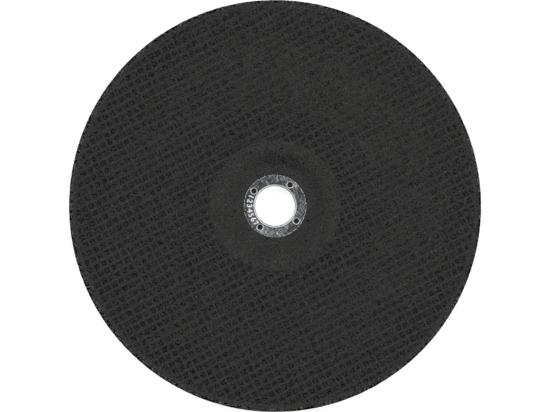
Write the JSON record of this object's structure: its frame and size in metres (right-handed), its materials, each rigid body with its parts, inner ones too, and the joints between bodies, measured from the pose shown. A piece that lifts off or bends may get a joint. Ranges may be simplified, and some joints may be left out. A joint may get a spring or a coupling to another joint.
{
  "type": "grinding disc",
  "caption": "Depressed-centre abrasive grinding disc for an angle grinder, with glass cloth in both faces and a flanged steel ring in its bore.",
  "frame": {"origin": "on the bore's axis, at the raised hub's rear face, which is the surface that the disc lies on", "axes": "+Z along the bore's axis, out of the dished working face; +X and +Y lie in the disc's plane, with +Y up in the picture"},
  "size_m": [0.23, 0.23, 0.0106],
  "materials": {
    "abrasive": "matte",
    "ring_steel": "satin",
    "glass_cloth": "matte"
  },
  "bodies": {
    "root": {"abrasive_disc": "abrasive", "centre_ring": "ring_steel", "front_glass_cloth": "glass_cloth", "rear_glass_cloth": "glass_cloth"}
  },
  "joints": []
}
